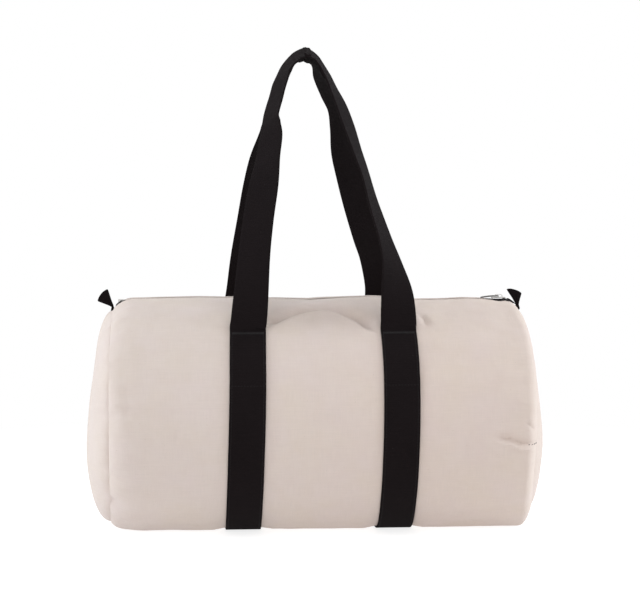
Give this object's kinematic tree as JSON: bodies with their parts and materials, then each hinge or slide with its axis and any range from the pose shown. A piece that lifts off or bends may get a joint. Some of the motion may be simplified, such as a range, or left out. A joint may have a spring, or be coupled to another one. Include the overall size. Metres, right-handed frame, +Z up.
{
  "type": "holdall",
  "caption": "Canvas barrel holdall with a zipped top mouth, webbing straps sewn round the body and a pair of swinging carrying loops.",
  "frame": {"origin": "on the ground under the middle of the bag", "axes": "+X along the barrel towards the zip's closed end, +Y from the front to the back, +Z up"},
  "size_m": [0.4874, 0.257, 0.5204],
  "materials": {
    "canvas": "natural plain-weave cotton canvas, matt",
    "webbing": "near-black cotton webbing, ribbed, matt",
    "zip_tape": "black woven zip tape",
    "zip_nylon": "black nylon coil",
    "nickel": "satin nickel plate",
    "dark_wire": "darkened steel wire",
    "binding": "cotton binding tape",
    "thread": "black sewing thread"
  },
  "bodies": {
    "shell": {"barrel_canvas": "canvas", "left_end_panel": "canvas", "right_end_panel": "canvas", "left_seam_binding": "binding", "right_seam_binding": "binding", "left_strap_band": "webbing", "right_strap_band": "webbing", "front_left_bar_tack": "thread", "front_right_bar_tack": "thread", "rear_left_bar_tack": "thread", "rear_right_bar_tack": "thread", "left_end_tab": "webbing", "right_end_tab": "webbing", "left_zip_end_cover": "webbing", "right_zip_end_cover": "webbing", "bottom_stop": "nickel"},
    "front_mouth": {"front_mouth_panel": "canvas", "front_zip_tape": "zip_tape", "front_zip_coil": "zip_nylon", "front_top_stop": "nickel"},
    "rear_mouth": {"rear_mouth_panel": "canvas", "rear_zip_tape": "zip_tape", "rear_zip_coil": "zip_nylon", "rear_top_stop": "nickel"},
    "slider": {"slider_body": "nickel", "slider_bridge": "nickel"},
    "pull": {"wire_pull": "dark_wire"},
    "front_loop": {"front_handle": "webbing"},
    "rear_loop": {"rear_handle": "webbing"}
  },
  "joints": [
    {"name": "zip_slide", "type": "slide", "parent": "shell", "child": "slider", "axis": [-1, 0, 0], "range_m": [0, 0.385]},
    {"name": "pull_swing", "type": "hinge", "parent": "slider", "child": "pull", "pos_m": [0.2022, 0, 0.2487], "axis": [0, 1, 0], "range_deg": [0, 130]},
    {"name": "front_mouth_swing", "type": "hinge", "parent": "shell", "child": "front_mouth", "pos_m": [0, 0, 0.1243], "axis": [1, 0, 0], "range_deg": [0, 20]},
    {"name": "rear_mouth_swing", "type": "hinge", "parent": "shell", "child": "rear_mouth", "pos_m": [0, 0, 0.1243], "axis": [-1, 0, 0], "range_deg": [0, 20]},
    {"name": "front_loop_swing", "type": "hinge", "parent": "shell", "child": "front_loop", "pos_m": [0, -0.08539, 0.21749], "axis": [1, 0, 0], "range_deg": [0, 125]},
    {"name": "rear_loop_swing", "type": "hinge", "parent": "shell", "child": "rear_loop", "pos_m": [0, 0.08539, 0.21749], "axis": [-1, 0, 0], "range_deg": [0, 125]}
  ],
  "couplings": [
    {"joint": "front_mouth_swing", "follows": "zip_slide", "rad_per_m": 0.9066},
    {"joint": "rear_mouth_swing", "follows": "zip_slide", "rad_per_m": 0.9066}
  ]
}
